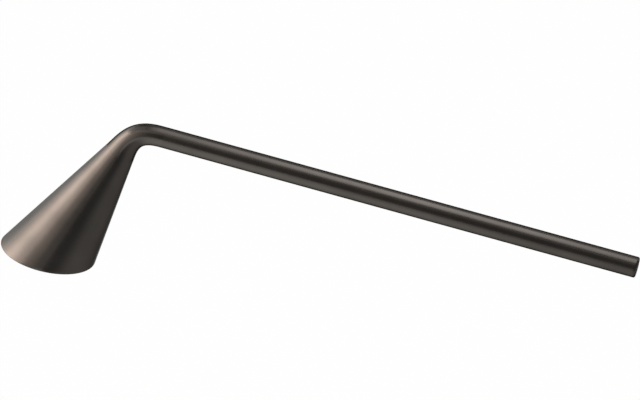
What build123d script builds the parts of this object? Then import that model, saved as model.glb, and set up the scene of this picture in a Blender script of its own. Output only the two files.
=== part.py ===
from build123d import *
from math import cos, radians, sin, tan
import os

# Candle snuffer: a leaning hollow bell that runs through a tapered elbow into a straight round handle.
#
# Row frame, in millimetres: the origin is the centre of the bell's mouth, the mouth lies in the XY plane,
# +Z points up through the bell and +X runs along the handle. The XZ plane is the plane of symmetry.
# The bell is a spun shell, the elbow a solid casting, the handle a tube with a turned end plug.
# Each joint is a spigot in a socket, held by a ring of silver solder.

# Handle tube
TUBE_DIAMETER = 8.0
TUBE_WALL = 1.0
HANDLE_HEIGHT = 59.8
HANDLE_REACH = 218.5

# Bell: its axis leans towards the handle, and its mouth is trimmed parallel to the handle
MOUTH_LENGTH = 36.5
CONE_LEAN = 19.7
CONE_HALF_ANGLE = 12.2
BELL_WALL = 1.0
SKIRT_LENGTH = 95.0
RIM_SOFTENING = 0.25

# Elbow: where it leaves the bell's axis and joins the handle's, both measured from where the two axes cross.
# The bend's ease is how far along each of these the curvature takes to come in.
BELL_SIDE_TANGENT = 11.4
HANDLE_SIDE_TANGENT = 11.2
BEND_EASE = 0.45
ELBOW_STEPS = 9

# End plug
PLUG_HEAD_LENGTH = 2.0
PLUG_EDGE_SOFTENING = 0.5

# Spigots and solder rings
SOCKET_CLEARANCE = 0.05
TUBE_SPIGOT_LENGTH = 12.0
BELL_SPIGOT_LENGTH = 5.0
SPIGOT_CHAMFER = 0.5
GROOVE_SETBACK = 4.0
GROOVE_WIDTH = 1.2
GROOVE_DEPTH = 0.5
BELL_SOLDER_HEIGHT = 2.5

# Handle: radii, stations and the frame that its half profiles are drawn in
tube_radius = TUBE_DIAMETER / 2
bore_radius = tube_radius - TUBE_WALL
tube_spigot_radius = bore_radius - SOCKET_CLEARANCE
groove_radius = tube_spigot_radius - GROOVE_DEPTH
plug_shoulder_x = HANDLE_REACH - PLUG_HEAD_LENGTH
handle_axis = Axis((0, 0, HANDLE_HEIGHT), (1, 0, 0))
handle_frame = Plane(origin=(0, 0, HANDLE_HEIGHT), x_dir=(1, 0, 0), z_dir=(0, -1, 0))

# Apex of the bell's straight sides, where the front and back rulings of the mouth meet
lean = radians(CONE_LEAN)
half_angle = radians(CONE_HALF_ANGLE)
front_run = tan(lean + half_angle)
back_run = tan(lean - half_angle)
apex_z = MOUTH_LENGTH / (front_run - back_run)
apex = Vector(front_run * apex_z - MOUTH_LENGTH / 2, 0, apex_z)
cone_up = Vector(sin(lean), 0, cos(lean))
cone_out = Vector(cos(lean), 0, -sin(lean))
cone_axis = Axis(apex, cone_up)

# Spine of the elbow: from the cone's axis round to the handle's, with no curvature at either end
corner = apex - cone_up * ((apex_z - HANDLE_HEIGHT) / cos(lean))
bend_start = corner - cone_up * BELL_SIDE_TANGENT
bend_end = corner + Vector(HANDLE_SIDE_TANGENT, 0, 0)
ease_in = bend_start + (corner - bend_start) * BEND_EASE
ease_out = bend_end + (corner - bend_end) * BEND_EASE
with BuildLine() as elbow_spine:
    spine = Bezier(bend_start, ease_in, corner, ease_out, bend_end)
tube_length = plug_shoulder_x - bend_end.X

# Half profile of the bell in its own frame: x is the distance from its axis, y runs up along it from the apex
bell_frame = Plane(origin=apex, x_dir=cone_out, z_dir=(0, -1, 0))
wall_across = BELL_WALL / cos(half_angle)
neck_y = -(apex - bend_start).length
neck_radius = -neck_y * tan(half_angle)
neck_bore_radius = neck_radius - wall_across
skirt_radius = SKIRT_LENGTH * tan(half_angle)
bell_spigot_radius = neck_bore_radius - SOCKET_CLEARANCE


def elbow_plane(fraction):
    """Plane across the elbow's spine, at a fraction of its length from the bell."""
    return Plane(origin=spine @ fraction, x_dir=(0, 1, 0), z_dir=spine % fraction)


def elbow_radius(fraction):
    """Radius of the elbow: it leaves the bell at the cone's own slope and ends flush with the tube."""
    drop = neck_radius - tube_radius
    cone_drop = spine.length * tan(half_angle)
    return tube_radius + (1 - fraction) ** 2 * (drop + fraction * (2 * drop - cone_drop))


def spigot_profile(shoulder_x, way):
    """Half profile of a tube spigot with its solder groove, running from the shoulder along +X or -X."""
    tip_x = shoulder_x + way * TUBE_SPIGOT_LENGTH
    groove_near_x = shoulder_x + way * GROOVE_SETBACK
    groove_far_x = groove_near_x + way * GROOVE_WIDTH
    outline = [
        (shoulder_x, 0),
        (shoulder_x, tube_spigot_radius),
        (groove_near_x, tube_spigot_radius),
        (groove_near_x, groove_radius),
        (groove_far_x, groove_radius),
        (groove_far_x, tube_spigot_radius),
        (tip_x - way * SPIGOT_CHAMFER, tube_spigot_radius),
        (tip_x, tube_spigot_radius - SPIGOT_CHAMFER),
        (tip_x, 0),
    ]
    with BuildSketch(handle_frame) as profile:
        with BuildLine():
            Polyline(*outline, close=True)
        make_face()
    return profile.sketch


# Bell: spun conical shell, trimmed to a level rim with softened edges
with BuildPart() as bell_cone:
    with BuildSketch(bell_frame):
        with BuildLine():
            Polyline(
                (skirt_radius, -SKIRT_LENGTH),
                (neck_radius, neck_y),
                (neck_bore_radius, neck_y),
                (skirt_radius - wall_across, -SKIRT_LENGTH),
                close=True,
            )
        make_face()
    revolve(axis=cone_axis)
    split(bisect_by=Plane.XY, keep=Keep.TOP)
    rim = bell_cone.faces().sort_by(Axis.Z)[0]
    chamfer(rim.edges(), RIM_SOFTENING)
bell_cone.part.label = "bell_cone"

# Elbow: half-round sections that shrink along the spine, mirrored to full rounds.
# A plain spigot goes down into the bell and a grooved one along into the tube.
with BuildPart() as neck_elbow:
    for step in range(ELBOW_STEPS + 1):
        with BuildSketch(elbow_plane(step / ELBOW_STEPS)):
            with BuildLine():
                half_round = CenterArc((0, 0), elbow_radius(step / ELBOW_STEPS), -90, 180)
                Line(half_round @ 1, half_round @ 0)
            make_face()
    loft()
    mirror(about=Plane.XZ)
    with BuildSketch(elbow_plane(0)):
        Circle(bell_spigot_radius)
    extrude(amount=-BELL_SPIGOT_LENGTH)
    spigot_tip = neck_elbow.faces().sort_by(cone_axis)[0]
    chamfer(spigot_tip.edges(), SPIGOT_CHAMFER)
    revolve(spigot_profile(bend_end.X, 1), axis=handle_axis)
neck_elbow.part.label = "neck_elbow"

# Handle: plain round tube between the elbow and the end plug
with BuildPart() as handle_tube:
    with BuildSketch(elbow_plane(1)):
        Circle(tube_radius)
        Circle(bore_radius, mode=Mode.SUBTRACT)
    extrude(amount=tube_length)
handle_tube.part.label = "handle_tube"

# End plug: flush turned head with a softened edge, on a grooved spigot
with BuildPart() as end_plug:
    with BuildSketch(Plane(origin=(plug_shoulder_x, 0, HANDLE_HEIGHT), z_dir=(1, 0, 0))):
        Circle(tube_radius)
    extrude(amount=PLUG_HEAD_LENGTH)
    head_face = end_plug.faces().sort_by(Axis.X)[-1]
    chamfer(head_face.edges(), PLUG_EDGE_SOFTENING)
    revolve(spigot_profile(plug_shoulder_x, -1), axis=handle_axis)
end_plug.part.label = "end_plug"

# Solder in the bell's neck: the wedge between the straight spigot and the widening bore
with BuildPart() as bell_solder_ring:
    with BuildSketch(elbow_plane(0)):
        Circle(neck_radius)
        Circle(bell_spigot_radius, mode=Mode.SUBTRACT)
    extrude(amount=-BELL_SOLDER_HEIGHT)
    add(bell_cone.part, mode=Mode.SUBTRACT)
bell_solder_ring.part.label = "bell_solder_ring"

# Solder in the tube: one ring fills each spigot groove out to the bore
with BuildPart() as tube_solder_rings:
    for ring_x in (bend_end.X + GROOVE_SETBACK, plug_shoulder_x - GROOVE_SETBACK - GROOVE_WIDTH):
        with BuildSketch(Plane(origin=(ring_x, 0, HANDLE_HEIGHT), z_dir=(1, 0, 0))):
            Circle(bore_radius)
            Circle(groove_radius, mode=Mode.SUBTRACT)
        extrude(amount=GROOVE_WIDTH)
tube_solder_rings.part.label = "tube_solder_rings"

os.makedirs("parts", exist_ok=True)
export_step(bell_cone.part, "parts/bell_cone.step")
export_step(neck_elbow.part, "parts/neck_elbow.step")
export_step(handle_tube.part, "parts/handle_tube.step")
export_step(end_plug.part, "parts/end_plug.step")
export_step(bell_solder_ring.part, "parts/bell_solder_ring.step")
export_step(tube_solder_rings.part, "parts/tube_solder_rings.step")
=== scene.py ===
"""Candle snuffer in dark satin bronze: its looks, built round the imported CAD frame.

Lengths are in metres, in the row frame: the origin is the centre of the bell's mouth, +Z runs up through
the bell and +X along the handle.
"""

import logging
import math
from collections.abc import Mapping, Sequence
from dataclasses import dataclass, field
from enum import Enum
from typing import Any, NamedTuple

import bmesh
import bpy
from mathutils import Matrix, Vector


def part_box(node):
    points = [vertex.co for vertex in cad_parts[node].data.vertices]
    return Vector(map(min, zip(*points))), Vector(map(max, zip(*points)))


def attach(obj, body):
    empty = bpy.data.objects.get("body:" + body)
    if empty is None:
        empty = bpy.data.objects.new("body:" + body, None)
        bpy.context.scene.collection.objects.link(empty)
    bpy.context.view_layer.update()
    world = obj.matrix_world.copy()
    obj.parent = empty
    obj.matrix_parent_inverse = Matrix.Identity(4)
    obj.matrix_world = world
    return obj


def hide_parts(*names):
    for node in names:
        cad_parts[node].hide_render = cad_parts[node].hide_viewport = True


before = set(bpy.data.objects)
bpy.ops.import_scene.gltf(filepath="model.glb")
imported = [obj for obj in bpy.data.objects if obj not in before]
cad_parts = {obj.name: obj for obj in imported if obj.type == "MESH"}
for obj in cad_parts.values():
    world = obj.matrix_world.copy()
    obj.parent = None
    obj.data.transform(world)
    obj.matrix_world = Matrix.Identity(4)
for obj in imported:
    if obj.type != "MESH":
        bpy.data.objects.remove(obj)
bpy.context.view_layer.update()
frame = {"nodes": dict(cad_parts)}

Point = tuple[float, float, float]
Colour = tuple[float, float, float, float]
Shares = tuple[float, float, float]

EVEN: Shares = (1.0, 1.0, 1.0)
WHITE: Colour = (1.0, 1.0, 1.0, 1.0)
QUARTER_TURN = math.radians(90)
MM = 0.001
SHARP_ANGLE = math.radians(32)
WELD_DISTANCE = 1e-7
BODY = "root"

log = logging.getLogger("candle_snuffer")


# Centre lines of the snuffer


@dataclass(frozen=True)
class CentreLines:
    """Lines that the bell, the elbow and the handle share, as the CAD has them.

    Attributes:
        tube_radius: Radius of the handle.
        handle_height: Height of the handle's axis over the mouth.
        handle_reach: Distance along X to the handle's free end.
        mouth_length: Length of the bell's mouth along X.
        lean: Lean of the bell's axis towards the handle, in radians.
        half_angle: Half angle of the bell's cone, in radians.
        bell_wall: Thickness of the bell's wall.
        bell_tangent: Distance from the crossing of the two axes to the elbow's bell end.
        handle_tangent: Distance from that crossing to the elbow's handle end.
        bend_ease: Share of each tangent over which the curvature comes in.
    """

    tube_radius: float = 4.0 * MM
    handle_height: float = 59.8 * MM
    handle_reach: float = 218.5 * MM
    mouth_length: float = 36.5 * MM
    lean: float = math.radians(19.7)
    half_angle: float = math.radians(12.2)
    bell_wall: float = 1.0 * MM
    bell_tangent: float = 11.4 * MM
    handle_tangent: float = 11.2 * MM
    bend_ease: float = 0.45

    @property
    def bell_up(self) -> Vector:
        """Direction of the bell's axis, from the mouth to the apex."""
        return Vector((math.sin(self.lean), 0.0, math.cos(self.lean)))

    @property
    def apex(self) -> Vector:
        """Point where the bell's straight sides would meet."""
        front_run = math.tan(self.lean + self.half_angle)
        back_run = math.tan(self.lean - self.half_angle)
        height = self.mouth_length / (front_run - back_run)
        return Vector((front_run * height - self.mouth_length / 2, 0.0, height))

    @property
    def corner(self) -> Vector:
        """Point where the bell's axis crosses the handle's."""
        drop = (self.apex.z - self.handle_height) / math.cos(self.lean)
        return self.apex - self.bell_up * drop

    @property
    def bend_start(self) -> Vector:
        """Bell end of the elbow's spine."""
        return self.corner - self.bell_up * self.bell_tangent

    @property
    def bend_end(self) -> Vector:
        """Handle end of the elbow's spine."""
        return self.corner + Vector((self.handle_tangent, 0.0, 0.0))

    @property
    def neck_distance(self) -> float:
        """Distance from the apex down to the bell's neck."""
        return (self.apex - self.bend_start).length

    @property
    def neck_radius(self) -> float:
        """Outer radius of the bell at its neck."""
        return self.neck_distance * math.tan(self.half_angle)

    @property
    def neck_bore_radius(self) -> float:
        """Inner radius of the bell at its neck."""
        return self.neck_radius - self.bell_wall / math.cos(self.half_angle)

    def spine(self, steps: int) -> list[tuple[Vector, float]]:
        """Walks the elbow's spine, a smooth curve with no curvature at either end.

        Args:
            steps: Number of steps along the spine.

        Returns:
            Each point, with the length of spine up to it.
        """
        corner, start, end = self.corner, self.bend_start, self.bend_end
        poles = (
            start,
            start.lerp(corner, self.bend_ease),
            corner,
            end.lerp(corner, self.bend_ease),
            end,
        )
        degree = len(poles) - 1
        walked: list[tuple[Vector, float]] = []
        for step in range(steps + 1):
            share = step / steps
            point = Vector()
            for index, pole in enumerate(poles):
                weight = math.comb(degree, index) * share**index * (1 - share) ** (degree - index)
                point += pole * weight
            run = walked[-1][1] + (point - walked[-1][0]).length if walked else 0.0
            walked.append((point, run))
        return walked


# Node benches


class Bench:
    """A node tree that is being put together."""

    def __init__(self, tree: bpy.types.NodeTree) -> None:
        """Starts from an empty tree.

        Args:
            tree: The node tree to fill.
        """
        self.tree = tree
        self.tree.nodes.clear()

    def add(self, kind: str, inputs: Mapping[Any, Any] | None = None, **settings: Any) -> bpy.types.Node:
        """Adds a node.

        Args:
            kind: Blender's name for the node type.
            inputs: Socket name or number, with a value for it or the socket that feeds it.
            **settings: Properties of the node.

        Returns:
            The new node.
        """
        node = self.tree.nodes.new(kind)
        for name, value in settings.items():
            setattr(node, name, value)
        for key, value in (inputs or {}).items():
            if isinstance(value, bpy.types.NodeSocket):
                self.tree.links.new(value, node.inputs[key])
            else:
                node.inputs[key].default_value = value
        return node

    def sum(self, operation: str, *terms: Any, clamp: bool = False) -> bpy.types.NodeSocket:
        """Works out one arithmetic step.

        Args:
            operation: Blender's name for the Math operation.
            *terms: Numbers or sockets.
            clamp: Whether the result is held between 0 and 1.

        Returns:
            The socket with the result.
        """
        node = self.add("ShaderNodeMath", dict(enumerate(terms)), operation=operation, use_clamp=clamp)
        return node.outputs[0]


class GeometryBench(Bench):
    """A Geometry Nodes tree with named inputs for its sizes."""

    SOCKETS = {float: "NodeSocketFloat", int: "NodeSocketInt", Vector: "NodeSocketVector"}

    def __init__(self, name: str) -> None:
        """Opens a tree that takes a line and gives a shape.

        Args:
            name: Name of the tree.
        """
        super().__init__(bpy.data.node_groups.new(name, "GeometryNodeTree"))
        sockets = self.tree.interface
        sockets.new_socket("Line", in_out="INPUT", socket_type="NodeSocketGeometry")
        sockets.new_socket("Shape", in_out="OUTPUT", socket_type="NodeSocketGeometry")
        self.keys: dict[str, str] = {}
        self.entry = self.tree.nodes.new("NodeGroupInput")

    def take(self, name: str, kind: type) -> bpy.types.NodeSocket:
        """Opens a named input.

        Args:
            name: Name of the size or finish.
            kind: Python type of its value.

        Returns:
            The socket that carries it inside the tree.
        """
        word = self.SOCKETS.get(kind, "NodeSocketMaterial")
        made = self.tree.interface.new_socket(name, in_out="INPUT", socket_type=word)
        self.keys[name] = made.identifier
        return self.entry.outputs[name]

    def value_of(self, name: str) -> bpy.types.NodeSocket:
        """Reads a value that the line's points carry."""
        node = self.add("GeometryNodeInputNamedAttribute", {"Name": name}, data_type="FLOAT")
        return node.outputs["Attribute"]

    def arrow(self, operation: str, *terms: Any) -> bpy.types.NodeSocket:
        """Works out one step with vectors and gives the vector."""
        node = self.add("ShaderNodeVectorMath", dict(enumerate(terms)), operation=operation)
        return node.outputs["Vector"]

    def stretch(self, vector: Any, factor: Any) -> bpy.types.NodeSocket:
        """Scales a vector by a number."""
        node = self.add("ShaderNodeVectorMath", {0: vector, "Scale": factor}, operation="SCALE")
        return node.outputs["Vector"]

    def height(self, vector: Any) -> bpy.types.NodeSocket:
        """Reads the Z of a vector."""
        return self.add("ShaderNodeSeparateXYZ", {0: vector}).outputs["Z"]

    def close(self, shape: bpy.types.NodeSocket) -> None:
        """Welds and smooths the shape, gives it its finish and ends the tree.

        Args:
            shape: The socket with the finished geometry.
        """
        welded = self.add("GeometryNodeMergeByDistance", {"Geometry": shape, "Distance": WELD_DISTANCE})
        smooth = self.add("GeometryNodeSetShadeSmooth", {"Geometry": welded.outputs[0]})
        real = self.add("GeometryNodeRealizeInstances", {"Geometry": smooth.outputs[0]})
        finish = self.take("Finish", bpy.types.Material)
        dressed = self.add("GeometryNodeSetMaterial", {"Geometry": real.outputs[0], "Material": finish})
        end = self.tree.nodes.new("NodeGroupOutput")
        self.tree.links.new(dressed.outputs[0], end.inputs[0])


@dataclass
class Line:
    """A line of points, each with named values, that a tree turns into a shape.

    Attributes:
        closed: Whether the last point joins the first.
        points: Places of the points.
        values: Name of each value, with one number per point.
    """

    closed: bool
    points: list[Point] = field(default_factory=list)
    values: dict[str, list[float]] = field(default_factory=dict)

    def put(self, point: Sequence[float], **values: float) -> None:
        """Adds a point.

        Args:
            point: Its place.
            **values: Its named values, the same names for every point of the line.
        """
        self.points.append((point[0], point[1], point[2]))
        for name, value in values.items():
            self.values.setdefault(name, []).append(value)

    def mesh(self, name: str) -> bpy.types.Mesh:
        """Makes the line a mesh of edges.

        Args:
            name: Name of the mesh.

        Returns:
            The mesh, with the values as point attributes.
        """
        count = len(self.points)
        edges = [(index, index + 1) for index in range(count - 1)]
        if self.closed:
            edges.append((count - 1, 0))
        mesh = bpy.data.meshes.new(name)
        mesh.from_pydata(self.points, edges, [])
        for key, numbers in self.values.items():
            mesh.attributes.new(key, "FLOAT", "POINT").data.foreach_set("value", numbers)
        return mesh


def grow(name: str, line: Line, bench: GeometryBench, inputs: Mapping[str, Any]) -> bpy.types.Object:
    """Turns a line into a finished piece by a tree.

    Args:
        name: Name of the piece.
        line: The line that the tree takes.
        bench: The tree.
        inputs: Value of each of the tree's named inputs.

    Returns:
        The piece, a plain mesh at the origin with no modifier.
    """
    base = bpy.data.objects.new(f"{name}.line", line.mesh(f"{name}.line"))
    bpy.context.scene.collection.objects.link(base)
    modifier = base.modifiers.new("Shape", "NODES")
    modifier.node_group = bench.tree
    for key, value in inputs.items():
        modifier[bench.keys[key]] = value
    depsgraph = bpy.context.evaluated_depsgraph_get()
    mesh = bpy.data.meshes.new_from_object(base.evaluated_get(depsgraph), depsgraph=depsgraph)
    base.modifiers.remove(modifier)
    bpy.data.objects.remove(base)
    mesh.name = name
    face_outwards(mesh)
    mesh.set_sharp_from_angle(angle=SHARP_ANGLE)
    piece = bpy.data.objects.new(name, mesh)
    bpy.context.scene.collection.objects.link(piece)
    return piece


def face_outwards(mesh: bpy.types.Mesh) -> None:
    """Turns a closed mesh whose faces all point inwards.

    Args:
        mesh: The mesh, changed in place.
    """
    work = bmesh.new()
    work.from_mesh(mesh)
    if work.calc_volume(signed=True) < 0:
        bmesh.ops.reverse_faces(work, faces=work.faces)
        work.to_mesh(mesh)
    work.free()


def settle(piece: bpy.types.Object, node: str) -> bpy.types.Object:
    """Puts a finished piece in its CAD node's stead and reports it.

    Args:
        piece: The piece.
        node: Name of the CAD node that it stands for.

    Returns:
        The piece.
    """
    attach(piece, BODY)
    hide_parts(node)
    low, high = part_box(node)
    corners = [Vector(corner) for corner in piece.bound_box]
    gap = max(
        max(abs(min(c[axis] for c in corners) - low[axis]), abs(max(c[axis] for c in corners) - high[axis]))
        for axis in range(3)
    )
    log.info("%s: %d faces, box within %.3f mm of %s", piece.name, len(piece.data.polygons), gap / MM, node)
    return piece


def lathe(bench: GeometryBench) -> bpy.types.NodeSocket:
    """Adds the nodes that turn a half profile round an axis.

    The line's points lie one metre inside the axis' unit circle: a point at radius r and station t is at
    (r - 1, -t, 0).

    Args:
        bench: The tree, which gets the inputs Steps Round, Turn and Place.

    Returns:
        The socket with the turned shape, its axis turned about Y and set at its place.
    """
    steps = bench.take("Steps Round", int)
    turn = bench.take("Turn", float)
    place = bench.take("Place", Vector)
    round_path = bench.add(
        "GeometryNodeCurvePrimitiveCircle", {"Resolution": steps, "Radius": 1.0}, mode="RADIUS"
    )
    level = bench.add("GeometryNodeSetCurveNormal", {"Curve": round_path.outputs["Curve"]}, mode="Z_UP")
    profile = bench.add("GeometryNodeMeshToCurve", {"Mesh": bench.entry.outputs["Line"]})
    turned = bench.add(
        "GeometryNodeCurveToMesh", {"Curve": level.outputs[0], "Profile Curve": profile.outputs[0]}
    )
    about_y = bench.add("ShaderNodeCombineXYZ", {"Y": turn})
    placed = bench.add(
        "GeometryNodeTransform",
        {"Geometry": turned.outputs[0], "Translation": place, "Rotation": about_y.outputs[0]},
    )
    return placed.outputs[0]


def at_lathe(radius: float, station: float) -> Point:
    """Place of a half profile's point on the lathe, from its radius and its station along the axis."""
    return (radius - 1.0, -station, 0.0)


# Finishes


class ShaderBench(Bench):
    """A material's node tree."""

    def __init__(self, name: str) -> None:
        """Opens a new material.

        Args:
            name: Name of the material.
        """
        self.material = bpy.data.materials.new(name)
        self.material.use_nodes = True
        super().__init__(self.material.node_tree)

    def blend(self, share: Any, low: Any, high: Any) -> bpy.types.NodeSocket:
        """Mixes two colours.

        Args:
            share: Share of the second colour, a number or a socket.
            low: First colour.
            high: Second colour.

        Returns:
            The socket with the mixed colour.
        """
        node = self.add("ShaderNodeMix", {0: share, 6: low, 7: high}, data_type="RGBA")
        return node.outputs[2]

    def spread(
        self, value: Any, low: float, high: float, to_low: float, to_high: float
    ) -> bpy.types.NodeSocket:
        """Maps a range of values onto another, and holds the ends.

        Args:
            value: The socket to map.
            low: Value that gives to_low.
            high: Value that gives to_high.
            to_low: Result at the low end.
            to_high: Result at the high end.

        Returns:
            The socket with the mapped value.
        """
        node = self.add("ShaderNodeMapRange", {0: value, 1: low, 2: high, 3: to_low, 4: to_high}, clamp=True)
        return node.outputs[0]

    def noise(
        self, vector: Any, scale: float, detail: float = 2.0, roughness: float = 0.5
    ) -> bpy.types.NodeSocket:
        """Adds a noise and gives its value.

        Args:
            vector: Socket with the coordinates.
            scale: Waves per metre of those coordinates.
            detail: Number of finer octaves.
            roughness: Strength of the finer octaves.

        Returns:
            The socket with the noise, about 0 to 1.
        """
        node = self.add(
            "ShaderNodeTexNoise",
            {"Vector": vector, "Scale": scale, "Detail": detail, "Roughness": roughness},
        )
        return node.outputs[0]

    def carried(self, name: str) -> bpy.types.NodeSocket:
        """Reads a value that the mesh's points carry."""
        return self.add("ShaderNodeAttribute", attribute_name=name, attribute_type="GEOMETRY").outputs["Fac"]

    def bump(self, height: Any, depth: float, strength: float, normal: Any = None) -> bpy.types.NodeSocket:
        """Adds a relief.

        Args:
            height: Socket with the relief, 0 to 1.
            depth: Depth of the relief in metres.
            strength: Share of the relief that shows.
            normal: Normal of an earlier relief to build on.

        Returns:
            The socket with the new normal.
        """
        inputs = {"Height": height, "Distance": depth, "Strength": strength}
        if normal is not None:
            inputs["Normal"] = normal
        return self.add("ShaderNodeBump", inputs).outputs[0]

    def close(self, shader: bpy.types.NodeSocket) -> bpy.types.Material:
        """Ends the tree with its shader and gives the material."""
        self.add("ShaderNodeOutputMaterial", {"Surface": shader})
        return self.material


class Grain(Enum):
    """How a surface was worked: waves per metre across and along the piece's axis."""

    SPUN = (25.0, 2600.0)
    DRAWN = (2600.0, 12.0)
    FILED = (900.0, 900.0)


@dataclass(frozen=True)
class BronzeFinish:
    """Dark patinated bronze with a satin polish, rubbed a little brighter where it is handled.

    Attributes:
        name: Name of the material.
        grain: How the surface was worked.
        place: A point on the piece's axis.
        turn: Turn about Y from +Z to the piece's axis, in radians.
        deep: Colour of the patina's darker clouds.
        pale: Colour of its paler clouds.
        rubbed: Colour of edges rubbed through to paler metal.
        sooted: Colour of the bell's smoked inside.
        soot_cover: How far the soot hides the metal under it.
        edge_tint: Tint of the glancing reflection.
        roughness: Roughness of the satin polish.
        rough_swing: How far the roughness swings with clouds and grain.
        grain_depth: Depth of the grain lines.
        line_relief: Share of the grain lines' relief that shows.
        speck_relief: Share of the specks' relief that shows.
        cloud_scale: Clouds per metre.
        smear_scale: Smears per metre.
        speck_scale: Specks per metre.
        soot_rough: Roughness that soot adds.
    """

    name: str
    grain: Grain
    place: Point
    turn: float
    deep: Colour = (0.109, 0.099, 0.090, 1.0)
    pale: Colour = (0.131, 0.119, 0.108, 1.0)
    rubbed: Colour = (0.165, 0.143, 0.120, 1.0)
    sooted: Colour = (0.042, 0.037, 0.034, 1.0)
    soot_cover: float = 0.0
    edge_tint: Colour = (0.15, 0.15, 0.15, 1.0)
    roughness: float = 0.28
    rough_swing: float = 0.05
    grain_depth: float = 3e-6
    line_relief: float = 0.6
    speck_relief: float = 0.25
    cloud_scale: float = 62.0
    smear_scale: float = 140.0
    speck_scale: float = 1500.0
    soot_rough: float = 0.16

    def material(self) -> bpy.types.Material:
        """Builds the material.

        Returns:
            The material, with colour, roughness and relief from its nodes.
        """
        bench = ShaderBench(self.name)
        across, along = self.grain.value
        spot = bench.add("ShaderNodeTexCoord").outputs["Object"]
        own = bench.add(
            "ShaderNodeMapping",
            {"Vector": spot, "Location": self.place, "Rotation": (0.0, self.turn, 0.0)},
            vector_type="TEXTURE",
        ).outputs[0]
        combed = bench.add(
            "ShaderNodeMapping", {"Vector": own, "Scale": (across, across, along)}, vector_type="POINT"
        ).outputs[0]
        lines = bench.noise(combed, 1.0, detail=3.0, roughness=0.6)
        clouds = bench.noise(own, self.cloud_scale, detail=4.0, roughness=0.55)
        specks = bench.noise(own, self.speck_scale, detail=2.0)
        smears = bench.noise(own, self.smear_scale, detail=3.0, roughness=0.6)

        wear = bench.carried("wear")
        inside = bench.carried("inside")
        patchy = bench.spread(specks, 0.35, 0.65, 0.55, 1.0)
        rubbed = bench.sum("MULTIPLY", wear, patchy, clamp=True)
        smoked = bench.sum("MULTIPLY", inside, bench.spread(smears, 0.3, 0.7, 0.55, 1.0), clamp=True)

        patina = bench.blend(bench.spread(clouds, 0.3, 0.7, 0.0, 1.0), self.deep, self.pale)
        colour = bench.blend(rubbed, bench.blend(smoked, patina, self.sooted), self.rubbed)

        smear_swing = bench.spread(smears, 0.3, 0.7, -0.5, 0.5)
        line_swing = bench.spread(lines, 0.3, 0.7, -0.4, 0.4)
        swing = bench.sum("ADD", smear_swing, line_swing)
        satin = bench.sum("MULTIPLY_ADD", swing, self.rough_swing, self.roughness)
        rough = bench.sum("MULTIPLY_ADD", smoked, self.soot_rough, satin, clamp=True)

        metal = bench.sum("MULTIPLY_ADD", smoked, -self.soot_cover, 1.0) if self.soot_cover else 1.0

        relief = bench.bump(lines, self.grain_depth, self.line_relief)
        relief = bench.bump(specks, self.grain_depth, self.speck_relief, relief)
        shader = bench.add(
            "ShaderNodeBsdfPrincipled",
            {
                "Base Color": colour,
                "Metallic": metal,
                "Roughness": rough,
                "Specular Tint": self.edge_tint,
                "Normal": relief,
            },
        )
        return bench.close(shader.outputs[0])


@dataclass(frozen=True)
class SolderFinish:
    """Silver solder, frozen with a dull, slightly rippled skin.

    Attributes:
        name: Name of the material.
        bright: Colour of the clean solder.
        dull: Colour where flux and heat have dulled it.
        ripple: Depth of the ripples.
        ripple_relief: Share of that relief that shows.
        ripple_scale: Ripples per metre.
        stain_scale: Stains per metre.
    """

    name: str = "silver_solder"
    bright: Colour = (0.46, 0.44, 0.40, 1.0)
    dull: Colour = (0.20, 0.18, 0.155, 1.0)
    ripple: float = 4e-5
    ripple_relief: float = 0.5
    ripple_scale: float = 1100.0
    stain_scale: float = 420.0

    def material(self) -> bpy.types.Material:
        """Builds the material.

        Returns:
            The material.
        """
        bench = ShaderBench(self.name)
        spot = bench.add("ShaderNodeTexCoord").outputs["Object"]
        stains = bench.noise(spot, self.stain_scale, detail=4.0, roughness=0.6)
        waves = bench.noise(spot, self.ripple_scale, detail=2.0)
        shader = bench.add(
            "ShaderNodeBsdfPrincipled",
            {
                "Base Color": bench.blend(bench.spread(stains, 0.4, 0.62, 0.0, 1.0), self.bright, self.dull),
                "Metallic": 1.0,
                "Roughness": bench.spread(stains, 0.3, 0.7, 0.32, 0.52),
                "Normal": bench.bump(waves, self.ripple, self.ripple_relief),
            },
        )
        return bench.close(shader.outputs[0])


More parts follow.
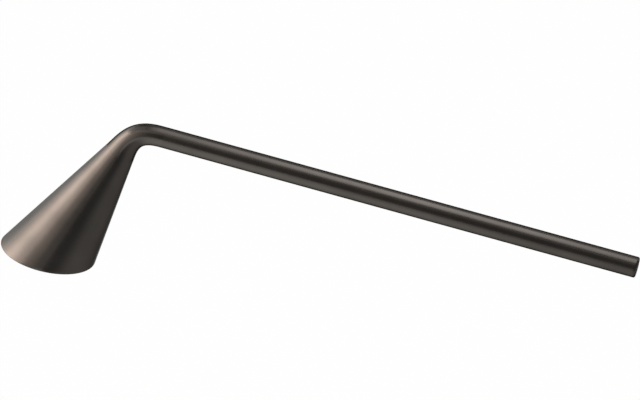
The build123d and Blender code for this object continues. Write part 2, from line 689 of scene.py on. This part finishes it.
@dataclass(frozen=True)
class PaperFinish:
    """Matt white paper of the floor, plain white to the camera.

    In metal it shows a painted reflection: its emission, seen only by glossy and transmission rays, paints a
    white sheet with a straight edge beside the object, past which it falls off to dim as a painted stand-in
    for the dim room, and a painted shadow on the sheet right under the object.

    Attributes:
        name: Name of the material.
        colour: Colour of the paper.
        held: Share of plain white where the floor is seen directly.
        sheet: Brightness of the painted sheet in metal, a painted reflection.
        side: Brightness past the sheet's edge, beside the object.
        front: Brightness past the sheet's edge, in front of the object.
        edge: Distance from the origin to the sheet's edge.
        edge_soft: Width over which the sheet falls off there.
        edge_turn: Turn of that edge about Z, in radians.
        side_run: Distance in front of the object at which the floor starts to fall off.
        front_run: Distance at which it is down to its front brightness and the sheet starts to fall off.
        sheet_run: Distance at which the sheet has ended.
        under: Brightness of the sheet in metal right under the object, a painted shadow.
        under_run: Distance in front of the object at which that painted shadow has ended.
    """

    name: str = "white_paper"
    colour: Colour = (0.93, 0.93, 0.93, 1.0)
    held: float = 0.99
    sheet: float = 0.97
    side: float = 0.38
    front: float = 0.14
    edge: float = 0.08
    edge_soft: float = 0.18
    edge_turn: float = math.radians(-4.8)
    side_run: float = 0.70
    front_run: float = 2.2
    sheet_run: float = 16.0
    under: float = 0.82
    under_run: float = 0.60

    def material(self) -> bpy.types.Material:
        """Builds the material.

        Returns:
            The material.
        """
        bench = ShaderBench(self.name)
        spot = bench.add("ShaderNodeTexCoord").outputs["Object"]
        turned = bench.add(
            "ShaderNodeMapping",
            {"Vector": spot, "Rotation": (0.0, 0.0, self.edge_turn)},
            vector_type="TEXTURE",
        )
        place = bench.add("ShaderNodeSeparateXYZ", {0: turned.outputs[0]}).outputs
        # Painted reflection, seen only in metal and glass: a white sheet with a soft straight edge, dim past
        # it.
        beside = bench.spread(place["X"], self.edge, self.edge + self.edge_soft, 1.0, 0.0)
        before = bench.spread(place["Y"], -self.sheet_run, -self.front_run, 0.0, 1.0)
        on_sheet = bench.sum("MULTIPLY", beside, before)
        past_edge = bench.spread(place["Y"], -self.front_run, -self.side_run, self.front, self.side)
        # Painted shadow: the painted sheet is dimmer towards the object, as if in its own shade.
        sheet = bench.spread(place["Y"], -self.under_run, 0.0, self.sheet, self.under)
        painted_reflection = bench.add("ShaderNodeMix", {0: on_sheet, 2: past_edge, 3: sheet}).outputs[0]
        ray = bench.add("ShaderNodeLightPath").outputs
        in_glass_or_metal = bench.sum("MAXIMUM", ray["Is Glossy Ray"], ray["Is Transmission Ray"])
        # Glossy and transmission rays see that painted reflection as emission; the camera sees plain white.
        strength = bench.add("ShaderNodeMix", {0: in_glass_or_metal, 2: 1.0, 3: painted_reflection}).outputs[0]
        seen = bench.sum("MULTIPLY", ray["Is Camera Ray"], self.held)
        share = bench.sum("MAXIMUM", seen, in_glass_or_metal)
        paper = bench.add("ShaderNodeBsdfDiffuse", {"Color": self.colour})
        white = bench.add("ShaderNodeEmission", {"Color": WHITE, "Strength": strength})
        mixed = bench.add("ShaderNodeMixShader", {0: share, 1: paper.outputs[0], 2: white.outputs[0]})
        return bench.close(mixed.outputs[0])


# Pieces


@dataclass
class Bell:
    """The spun hollow cone, trimmed to a level rim.

    Attributes:
        lines: Centre lines that it shares with the other pieces.
        rim_round: Rounding of the rim's two edges.
        steps_round: Faces round the bell.
        rows: Rows of faces between neck and rim.
        rim_steps: Faces over each rounded edge.
        rim_wear: Wear on the rim's outer edge.
        rim_wear_drop: How much less of it there is on the inner edge.
        rim_smoke: Smoke on the rim's inner edge.
        near_rim: Lifts over the rim of the last rows of faces, with the wear there.
    """

    lines: CentreLines
    rim_round: float = 0.3 * MM
    steps_round: int = 160
    rows: int = 14
    rim_steps: int = 5
    rim_wear: float = 0.35
    rim_wear_drop: float = 0.15
    rim_smoke: float = 0.5
    near_rim: tuple[tuple[float, float], ...] = ((3.0 * MM, 0.0), (1.2 * MM, 0.12))

    def profile(self) -> Line:
        """Draws the wall's section at the neck, with the values that carry it down to the rim.

        Returns:
            A closed line. Each point has its inset from the outer face, its reach from neck (0) to rim (1),
            its lift over the rim's level, and its wear and smoke.
        """
        line = Line(closed=True)

        def put(inset: float, reach: float, lift: float, wear: float, inside: float) -> None:
            """Adds a point of the section."""
            radius = self.lines.neck_radius - inset / math.cos(self.lines.half_angle)
            line.put(
                at_lathe(radius, -self.lines.neck_distance),
                inset=inset,
                reach=reach,
                lift=lift,
                wear=wear,
                inside=inside,
            )

        last_lift = self.near_rim[0][0]
        for row in range(self.rows):
            put(0.0, row / self.rows, last_lift, 0.0, 0.0)
        for lift, wear in self.near_rim:
            put(0.0, 1.0, lift, wear, 0.0)
        for step in range(self.rim_steps + 1):
            angle = QUARTER_TURN * step / self.rim_steps
            round_in, round_up = 1 - math.cos(angle), 1 - math.sin(angle)
            put(self.rim_round * round_in, 1.0, self.rim_round * round_up, self.rim_wear, 0.0)
        for step in range(self.rim_steps, -1, -1):
            angle = QUARTER_TURN * step / self.rim_steps
            round_in, round_up = 1 - math.cos(angle), 1 - math.sin(angle)
            share = 1 - step / self.rim_steps
            inset = self.lines.bell_wall - self.rim_round * round_in
            wear = self.rim_wear - self.rim_wear_drop * share
            put(inset, 1.0, self.rim_round * round_up, wear, self.rim_smoke * share)
        for lift, wear in reversed(self.near_rim):
            put(self.lines.bell_wall, 1.0, lift, wear, 1.0)
        for row in range(self.rows - 1, -1, -1):
            put(self.lines.bell_wall, row / self.rows, last_lift, 0.0, 1.0)
        return line

    def tree(self) -> GeometryBench:
        """Builds the tree that spins the section and trims it to a level rim.

        Returns:
            The tree, with the inputs of the lathe, Apex, Up and Wall Slope.
        """
        bench = GeometryBench("spun_bell")
        spun = lathe(bench)
        apex = bench.take("Apex", Vector)
        up = bench.take("Up", Vector)
        slope = bench.take("Wall Slope", float)
        drop = bench.sum("DIVIDE", bench.value_of("inset"), slope)
        own_apex = bench.arrow("SUBTRACT", apex, bench.stretch(up, drop))
        neck = bench.add("GeometryNodeInputPosition").outputs[0]
        full = bench.sum("SUBTRACT", bench.height(own_apex), bench.value_of("lift"))
        short = bench.sum("SUBTRACT", bench.height(own_apex), bench.height(neck))
        growth = bench.sum("SUBTRACT", bench.sum("DIVIDE", full, short), 1.0)
        factor = bench.sum("MULTIPLY_ADD", growth, bench.value_of("reach"), 1.0)
        ruled = bench.stretch(bench.arrow("SUBTRACT", neck, own_apex), factor)
        place = bench.arrow("ADD", own_apex, ruled)
        trimmed = bench.add("GeometryNodeSetPosition", {"Geometry": spun, "Position": place})
        bench.close(trimmed.outputs[0])
        return bench

    def build(self) -> bpy.types.Object:
        """Makes the bell and dresses it.

        Returns:
            The piece.
        """
        finish = BronzeFinish(
            "bell_bronze",
            Grain.SPUN,
            tuple(self.lines.apex),
            self.lines.lean,
            edge_tint=(0.42, 0.42, 0.42, 1.0),
            roughness=0.23,
            soot_cover=0.85,
        )
        inputs = {
            "Steps Round": self.steps_round,
            "Turn": self.lines.lean,
            "Place": self.lines.apex,
            "Apex": self.lines.apex,
            "Up": self.lines.bell_up,
            "Wall Slope": math.sin(self.lines.half_angle),
            "Finish": finish.material(),
        }
        return settle(grow("spun_bell", self.profile(), self.tree(), inputs), "bell_cone")


class Spigot(NamedTuple):
    """Sizes of the turned spigots that the tube slides over, shared by the elbow and the plug.

    Attributes:
        radius: Radius of the spigot.
        groove_radius: Radius in the solder groove.
        length: Length from the shoulder to the tip.
        groove_start: Distance from the shoulder to the groove.
        groove_end: Distance from the shoulder to the groove's far side.
        bevel: Bevel at the tip.
    """

    radius: float = 2.95 * MM
    groove_radius: float = 2.45 * MM
    length: float = 12.0 * MM
    groove_start: float = 4.0 * MM
    groove_end: float = 5.2 * MM
    bevel: float = 0.5 * MM

    def outline(self) -> list[tuple[float, float]]:
        """Lists distance from the shoulder and radius, from the shoulder to the tip's centre."""
        return [
            (0.0, self.radius),
            (self.groove_start, self.radius),
            (self.groove_start, self.groove_radius),
            (self.groove_end, self.groove_radius),
            (self.groove_end, self.radius),
            (self.length - self.bevel, self.radius),
            (self.length, self.radius - self.bevel),
            (self.length, 0.0),
        ]


@dataclass
class Elbow:
    """The solid tapered bend that runs from the bell's neck into the handle.

    Attributes:
        lines: Centre lines that it shares with the other pieces.
        spigot: Sizes of the spigot in the tube.
        foot_clearance: Gap round the plain spigot, or foot, in the bell's neck.
        foot_length: Length of the foot.
        foot_bevel: Bevel at its tip.
        bend_steps: Steps along the bend.
        steps_round: Faces round the bend.
    """

    lines: CentreLines
    spigot: Spigot
    foot_clearance: float = 0.05 * MM
    foot_length: float = 5.0 * MM
    foot_bevel: float = 0.5 * MM
    bend_steps: int = 72
    steps_round: int = 128

    def girth(self, share: float, length: float) -> float:
        """Gives the bend's radius, which leaves the bell at the cone's slope and ends flush with the tube.

        Args:
            share: Share of the spine's length from the bell.
            length: Length of the spine.

        Returns:
            The radius.
        """
        drop = self.lines.neck_radius - self.lines.tube_radius
        cone_drop = length * math.tan(self.lines.half_angle)
        return self.lines.tube_radius + (1 - share) ** 2 * (drop + share * (2 * drop - cone_drop))

    def path(self) -> Line:
        """Draws the line through foot, bend and spigot.

        Returns:
            An open line whose points carry the radius there.
        """
        line = Line(closed=False)
        start, end, up = self.lines.bend_start, self.lines.bend_end, self.lines.bell_up

        def put(point: Vector, radius: float) -> None:
            """Adds a point of the line with the radius there."""
            line.put(point, girth=radius, wear=0.0, inside=0.0)

        foot_radius = self.lines.neck_bore_radius - self.foot_clearance
        tip = start - up * self.foot_length
        put(tip, 0.0)
        put(tip, foot_radius - self.foot_bevel)
        put(tip + up * self.foot_bevel, foot_radius)
        put(start, foot_radius)
        walked = self.lines.spine(self.bend_steps)
        length = walked[-1][1]
        for point, run in walked:
            put(point, self.girth(run / length, length))
        for distance, radius in self.spigot.outline():
            put(end + Vector((distance, 0.0, 0.0)), radius)
        return line

    def tree(self) -> GeometryBench:
        """Builds the tree that sweeps a round section of changing girth along the line.

        Returns:
            The tree, with the inputs Steps Round and Finish.
        """
        bench = GeometryBench("tapered_bend")
        steps = bench.take("Steps Round", int)
        path = bench.add("GeometryNodeMeshToCurve", {"Mesh": bench.entry.outputs["Line"]})
        section = bench.add(
            "GeometryNodeCurvePrimitiveCircle", {"Resolution": steps, "Radius": 1.0}, mode="RADIUS"
        )
        swept = bench.add(
            "GeometryNodeCurveToMesh",
            {
                "Curve": path.outputs[0],
                "Profile Curve": section.outputs["Curve"],
                "Scale": bench.value_of("girth"),
            },
        )
        bench.close(swept.outputs[0])
        return bench

    def build(self) -> bpy.types.Object:
        """Makes the elbow and dresses it.

        Returns:
            The piece.
        """
        finish = BronzeFinish(
            "elbow_bronze",
            Grain.FILED,
            tuple(self.lines.corner),
            self.lines.lean,
            edge_tint=(0.20, 0.20, 0.20, 1.0),
            roughness=0.23,
        )
        inputs = {"Steps Round": self.steps_round, "Finish": finish.material()}
        return settle(grow("tapered_elbow", self.path(), self.tree(), inputs), "neck_elbow")


@dataclass
class Handle:
    """The drawn tube and the turned plug in its free end.

    Attributes:
        lines: Centre lines that they share with the other pieces.
        spigot: Sizes of the plug's spigot.
        tube_wall: Thickness of the tube's wall.
        plug_head: Length of the plug's head.
        plug_round: Rounding of the head's edge.
        face_ring: Share of the radius within which the head's face is unworn.
        face_wear: Wear on the head's face round that.
        edge_wear: Wear on the rounded edge.
        side_wear: Wear on the head's side, next to the rounding.
        side_run: Distance from the face to that place, in roundings.
        round_steps: Faces over that rounding.
        tube_rows: Rows of faces along the tube.
        steps_round: Faces round tube and plug.
    """

    lines: CentreLines
    spigot: Spigot
    tube_wall: float = 1.0 * MM
    plug_head: float = 2.0 * MM
    plug_round: float = 0.7 * MM
    face_ring: float = 0.55
    face_wear: float = 0.05
    edge_wear: float = 0.2
    side_wear: float = 0.08
    side_run: float = 2.2
    round_steps: int = 6
    tube_rows: int = 24
    steps_round: int = 128

    @property
    def shoulder(self) -> float:
        """Distance along X to the plug's shoulder."""
        return self.lines.handle_reach - self.plug_head

    def tube_profile(self) -> Line:
        """Draws half of the tube's section.

        Returns:
            A closed line, outer face first.
        """
        line = Line(closed=True)
        start, end = self.lines.bend_end.x, self.shoulder
        stations = [start + (end - start) * row / self.tube_rows for row in range(self.tube_rows + 1)]
        for station in reversed(stations):
            line.put(at_lathe(self.lines.tube_radius, station), wear=0.0, inside=0.0)
        for station in stations:
            line.put(at_lathe(self.lines.tube_radius - self.tube_wall, station), wear=0.0, inside=0.0)
        return line

    def plug_profile(self) -> Line:
        """Draws half of the plug's section.

        Returns:
            An open line from the middle of the head's face to the middle of the spigot's tip.
        """
        line = Line(closed=False)
        reach, radius = self.lines.handle_reach, self.lines.tube_radius
        line.put(at_lathe(0.0, reach), wear=0.0, inside=0.0)
        line.put(at_lathe(radius * self.face_ring, reach), wear=self.face_wear, inside=0.0)
        for step in range(self.round_steps + 1):
            angle = QUARTER_TURN * step / self.round_steps
            spot = at_lathe(
                radius - self.plug_round * (1 - math.sin(angle)),
                reach - self.plug_round * (1 - math.cos(angle)),
            )
            line.put(spot, wear=self.edge_wear, inside=0.0)
        line.put(at_lathe(radius, reach - self.side_run * self.plug_round), wear=self.side_wear, inside=0.0)
        line.put(at_lathe(radius, self.shoulder), wear=0.0, inside=0.0)
        for distance, spigot_radius in self.spigot.outline():
            line.put(at_lathe(spigot_radius, self.shoulder - distance), wear=0.0, inside=0.0)
        return line

    def build(self) -> list[bpy.types.Object]:
        """Makes the tube and the plug and dresses them.

        Returns:
            The two pieces.
        """
        bench = GeometryBench("turned_bar")
        bench.close(lathe(bench))
        axis = (0.0, 0.0, self.lines.handle_height)
        turn = QUARTER_TURN
        drawn = BronzeFinish("handle_bronze", Grain.DRAWN, axis, turn).material()
        turned = BronzeFinish("plug_bronze", Grain.DRAWN, axis, turn).material()
        sizes = {"Steps Round": self.steps_round, "Turn": turn, "Place": Vector(axis)}
        tube = grow("drawn_tube", self.tube_profile(), bench, sizes | {"Finish": drawn})
        plug = grow("turned_plug", self.plug_profile(), bench, sizes | {"Finish": turned})
        return [settle(tube, "handle_tube"), settle(plug, "end_plug")]


@dataclass
class SolderRings:
    """The rings of silver solder inside the joints, which keep their CAD shape.

    Attributes:
        nodes: Names of their CAD nodes.
        finish: Their finish.
    """

    nodes: tuple[str, ...] = ("bell_solder_ring", "tube_solder_rings")
    finish: SolderFinish = field(default_factory=SolderFinish)

    def dress(self, shown: Mapping[str, bpy.types.Object]) -> None:
        """Gives the rings their finish.

        Args:
            shown: The frame's CAD nodes by name.
        """
        material = self.finish.material()
        for name in self.nodes:
            slots = shown[name].data.materials
            slots.clear()
            slots.append(material)
            log.info("%s: CAD shape, finish %s", name, material.name)


# Studio


@dataclass(frozen=True)
class Softbox:
    """A rectangular lamp whose face may fall off towards its sides.

    Attributes:
        name: Name of the lamp.
        place: Where its face is.
        aim: Point that it faces.
        size: Width and height of its face.
        radiance: Brightness of its face, where 1 is white paper in plain light.
        tint: Colour of its light.
        across: Shares of that brightness at the face's left side, middle and right side, as the lamp looks.
        upright: Shares of it at the face's bottom, middle and top.
    """

    name: str
    place: Point
    aim: Point
    size: tuple[float, float]
    radiance: float
    tint: tuple[float, float, float] = (1.0, 0.99, 1.0)
    across: Shares = EVEN
    upright: Shares = EVEN

    def shade(self, tree: bpy.types.NodeTree) -> None:
        """Gives the lamp's face its shares of brightness.

        Args:
            tree: The lamp's node tree.
        """
        bench = Bench(tree)
        spot = bench.add("ShaderNodeNewGeometry").outputs["Parametric"]
        on_face = bench.add("ShaderNodeSeparateXYZ", {0: spot}).outputs
        fades = []
        for way, shares in (("X", self.across), ("Y", self.upright)):
            fade = bench.add("ShaderNodeValToRGB", {0: on_face[way]})
            fade.color_ramp.interpolation = "EASE"
            fade.color_ramp.elements.new(0.5)
            for stop, share in zip(fade.color_ramp.elements, shares):
                stop.color = (share, share, share, 1.0)
            fades.append(fade.outputs[0])
        face = bench.add("ShaderNodeEmission", {"Strength": bench.sum("MULTIPLY", *fades)})
        bench.add("ShaderNodeOutputLight", {0: face.outputs[0]})

    def hang(self) -> bpy.types.Object:
        """Hangs the lamp in the scene.

        Returns:
            The lamp.
        """
        lamp = bpy.data.lights.new(self.name, "AREA")
        lamp.shape = "RECTANGLE"
        lamp.size, lamp.size_y = self.size
        lamp.energy = self.radiance * math.pi * lamp.size * lamp.size_y
        lamp.color = self.tint
        lamp.use_nodes = True
        self.shade(lamp.node_tree)
        box = bpy.data.objects.new(self.name, lamp)
        box.location = self.place
        box.rotation_mode = "QUATERNION"
        box.rotation_quaternion = (Vector(self.aim) - Vector(self.place)).to_track_quat("-Z", "Y")
        box.visible_camera = False
        bpy.context.scene.collection.objects.link(box)
        return box


@dataclass
class Studio:
    """Floor, lamps, surroundings and camera.

    Attributes:
        floor_size: Half the side of the floor.
        floor_cells: Faces along each side of the floor.
        floor_drop: Depth of the floor under the bell's mouth.
        surround: Colour of the dim room round the table.
        lamps: The softboxes.
        yaw: Camera's turn round the object from straight ahead, in degrees.
        pitch: Its height over the horizon, in degrees.
        roll: Its roll, in degrees.
        distance: Its distance from the point that it aims at.
        aim_right: That point's distance from the mouth's centre, to the right in the picture.
        aim_up: The same, upwards in the picture.
        lens: Focal length in millimetres.
        sensor: Width of the film in millimetres.
        clip: Nearest and farthest distance that the camera sees.
    """

    floor_size: float = 16.0
    floor_cells: int = 4
    floor_drop: float = 0.60
    surround: Colour = (0.125, 0.120, 0.112, 1.0)
    lamps: tuple[Softbox, ...] = (
        Softbox(
            "overhead",
            (0.11, 0.026, 0.33),
            (0.11, 0.026, 0.0),
            (0.34, 0.27),
            1.85,
            across=(0.35, 1.0, 0.45),
            upright=(0.70, 1.0, 1.0),
        ),
        Softbox("front_top_left", (-0.09, -0.235, 0.43), (0.02, 0.0, 0.06), (0.25, 0.20), 0.34),
        Softbox(
            "left_top",
            (-0.364, 0.034, 0.52),
            (0.02, 0.0, 0.06),
            (0.56, 0.37),
            0.9,
            upright=(1.0, 0.5, 0.42),
        ),
        Softbox("front_top_right", (0.17, -0.27, 0.42), (0.19, 0.0, 0.06), (0.12, 0.12), 0.28),
        Softbox("back_top", (0.16, 0.60, 0.50), (0.106, 0.0, 0.06), (0.80, 0.40), 0.40),
        Softbox("back_fill", (0.80, 0.72, 0.45), (0.10, 0.0, 0.04), (0.70, 0.70), 0.6),
        Softbox(
            "key",
            (-0.946, -0.085, 0.21),
            (0.02, 0.0, 0.21),
            (0.90, 0.82),
            4.65,
            tint=(1.0, 0.885, 0.83),
            across=(0.60, 1.0, 0.58),
        ),
        Softbox(
            "key_front_wing",
            (-0.536, -0.795, 0.62),
            (0.02, 0.0, 0.62),
            (0.90, 1.20),
            3.1,
            tint=(1.0, 0.88, 0.82),
            across=(1.0, 0.30, 0.06),
            upright=(1.0, 0.38, 0.30),
        ),
        Softbox(
            "key_back_wing",
            (-0.666, 0.686, 0.20),
            (0.02, 0.0, 0.20),
            (0.90, 0.84),
            2.6,
            tint=(0.95, 0.98, 1.0),
            across=(0.35, 0.5, 1.0),
        ),
    )
    yaw: float = 6.0121
    pitch: float = 27.2002
    roll: float = 12.6357
    distance: float = 5.3662
    aim_right: float = 102.674 * MM
    aim_up: float = 19.474 * MM
    lens: float = 800.0
    sensor: float = 36.0
    clip: tuple[float, float] = (0.1, 60.0)

    def lay_floor(self) -> bpy.types.Object:
        """Lays the white paper floor.

        Returns:
            The floor.
        """
        work, cells = bmesh.new(), self.floor_cells
        bmesh.ops.create_grid(work, x_segments=cells, y_segments=cells, size=self.floor_size)
        bmesh.ops.translate(work, verts=work.verts, vec=(0.0, 0.0, -self.floor_drop))
        mesh = bpy.data.meshes.new("paper_floor")
        work.to_mesh(mesh)
        work.free()
        mesh.materials.append(PaperFinish().material())
        floor = bpy.data.objects.new("paper_floor", mesh)
        bpy.context.scene.collection.objects.link(floor)
        return floor

    def light(self) -> None:
        """Hangs the lamps and dims the room, which is plain white where it is seen directly."""
        for lamp in self.lamps:
            lamp.hang()
            log.info("%s: softbox %.2f x %.2f m", lamp.name, *lamp.size)
        world = bpy.data.worlds.new("dim_room")
        world.use_nodes = True
        bench = Bench(world.node_tree)
        ray = bench.add("ShaderNodeLightPath").outputs
        direct = bench.sum("MAXIMUM", ray["Is Camera Ray"], ray["Is Transmission Ray"])
        room = bench.add("ShaderNodeBackground", {"Color": self.surround, "Strength": 1.0})
        white = bench.add("ShaderNodeBackground", {"Color": WHITE, "Strength": 1.0})
        seen = bench.add("ShaderNodeMixShader", {0: direct, 1: room.outputs[0], 2: white.outputs[0]})
        bench.add("ShaderNodeOutputWorld", {"Surface": seen.outputs[0]})
        bpy.context.scene.world = world

    def set_camera(self) -> bpy.types.Object:
        """Sets the camera at the photograph's viewing angle.

        Returns:
            The camera.
        """
        yaw, pitch, roll = (math.radians(angle) for angle in (self.yaw, self.pitch, self.roll))
        level = Vector((math.cos(yaw), math.sin(yaw), 0.0))
        back = Vector((math.sin(yaw) * math.cos(pitch), -math.cos(yaw) * math.cos(pitch), math.sin(pitch)))
        upright = back.cross(level)
        right = level * math.cos(roll) + upright * math.sin(roll)
        up = upright * math.cos(roll) - level * math.sin(roll)
        place = right * self.aim_right + up * self.aim_up + back * self.distance
        lens = bpy.data.cameras.new("camera")
        lens.lens, lens.sensor_width = self.lens, self.sensor
        lens.clip_start, lens.clip_end = self.clip
        camera = bpy.data.objects.new("camera", lens)
        camera.matrix_world = Matrix.Translation(place) @ Matrix((right, up, back)).transposed().to_4x4()
        bpy.context.scene.collection.objects.link(camera)
        bpy.context.scene.camera = camera
        return camera

    def build(self) -> None:
        """Sets up the whole studio."""
        self.set_camera()
        self.lay_floor()
        self.light()
        bpy.context.scene.view_settings.view_transform = "Standard"


# Scene


def main() -> None:
    """Builds the studio and the snuffer's pieces in order."""
    logging.basicConfig(level=logging.INFO, format="%(message)s")
    Studio().build()
    lines = CentreLines()
    spigot = Spigot()
    Bell(lines).build()
    Elbow(lines, spigot).build()
    Handle(lines, spigot).build()
    SolderRings().dress(frame["nodes"])


if __name__ == "__main__":
    main()
